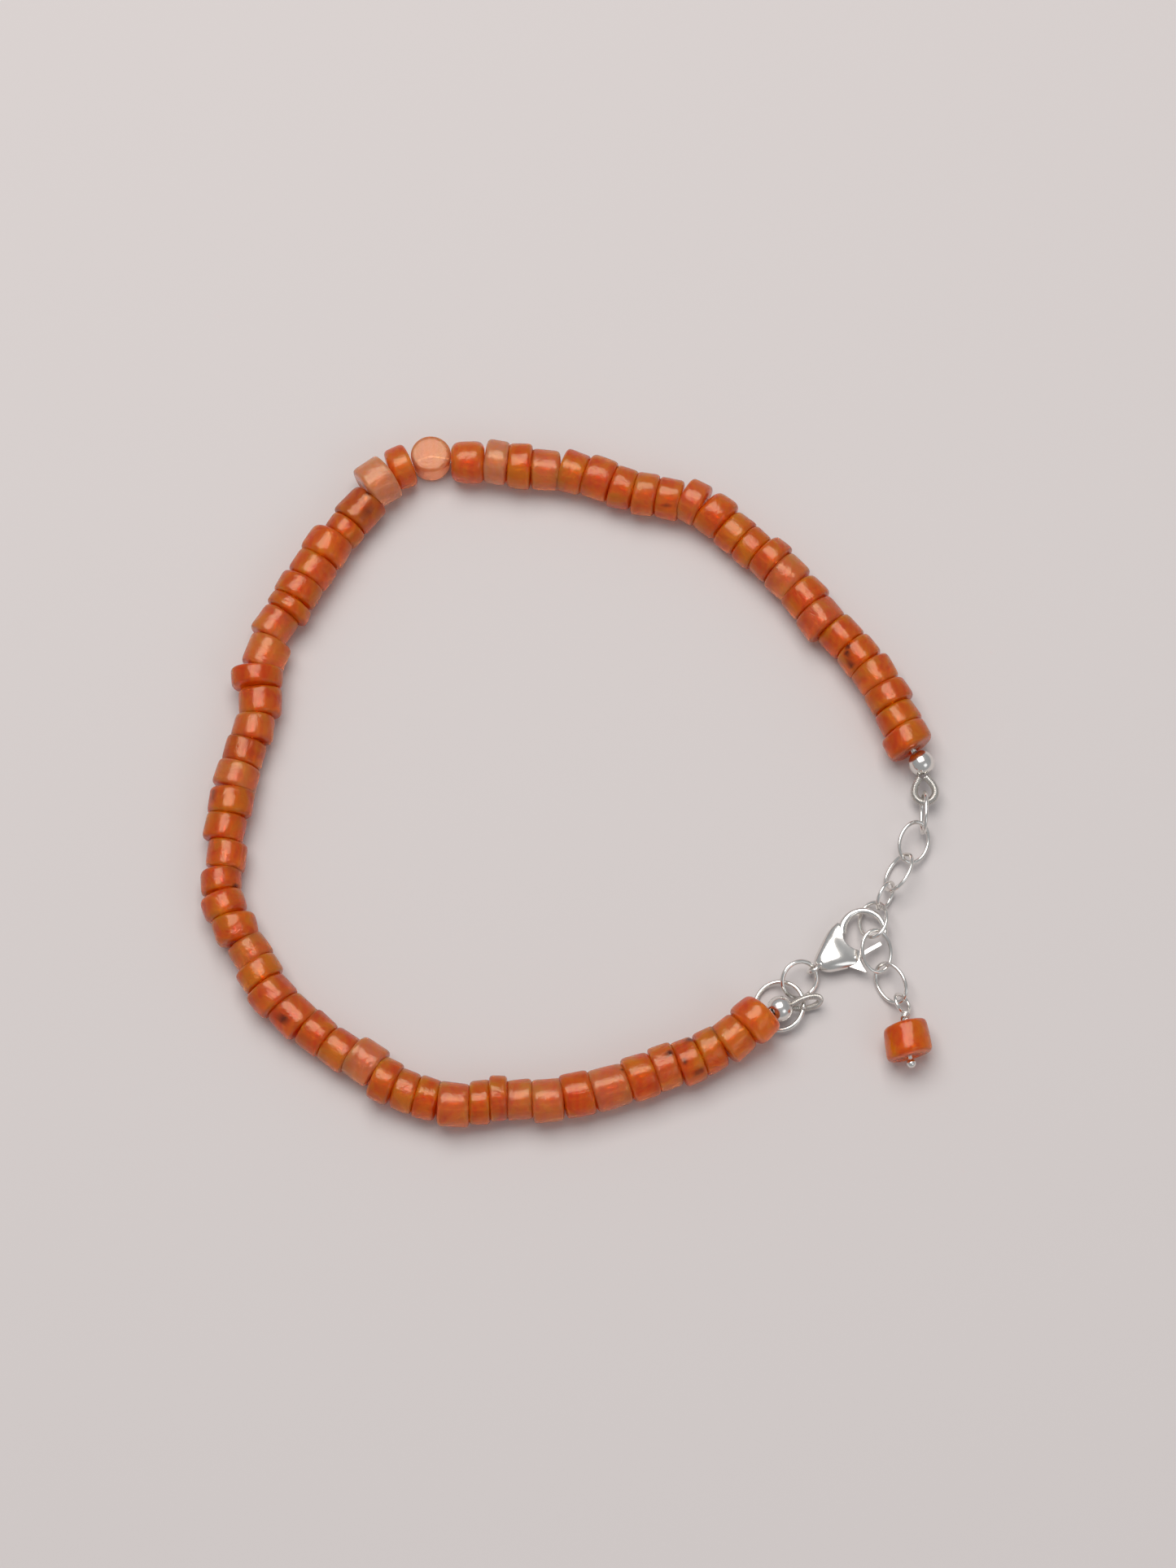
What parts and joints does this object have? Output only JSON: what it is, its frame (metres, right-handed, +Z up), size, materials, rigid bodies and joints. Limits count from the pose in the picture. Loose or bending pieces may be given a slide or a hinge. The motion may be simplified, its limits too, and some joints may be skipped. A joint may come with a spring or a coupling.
{
  "type": "gemstone bracelet",
  "caption": "String bracelet of polished orange stone beads with a silver trigger clasp, jump rings and an extender chain that ends in a bead charm.",
  "frame": {"origin": "centre of the bounding box on the surface that the bracelet lies on", "axes": "+Z up from the surface, +X to the clasp and chain side, +Y to the top of the picture"},
  "size_m": [0.0674, 0.0658, 0.0051],
  "materials": {
    "carnelian": "polished, translucent orange to brownish red",
    "silver": "bright polished silver",
    "gimp_wire": "fine coiled silver wire"
  },
  "bodies": {
    "bracelet": {"bead_string": "carnelian", "silver_bead_chain_end": "silver", "silver_bead_clasp_end": "silver", "gimp_loop_chain_end": "gimp_wire", "gimp_loop_clasp_end": "gimp_wire", "large_jump_ring": "silver", "small_jump_ring": "silver", "clasp_body": "silver", "extender_ring": "silver", "charm_bead": "carnelian", "charm_headpin": "silver", "oval_link_1": "silver", "oval_link_2": "silver", "oval_link_3": "silver", "oval_link_4": "silver", "oval_link_5": "silver", "oval_link_6": "silver"},
    "lever": {"clasp_lever": "silver"}
  },
  "joints": [
    {"name": "lever_hinge", "type": "hinge", "parent": "bracelet", "child": "lever", "pos_m": [0.02584, -0.01713, 0.0011], "axis": [0, 0, 1], "range_deg": [0, 15], "stiffness_Nm_per_rad": 0.0005}
  ]
}
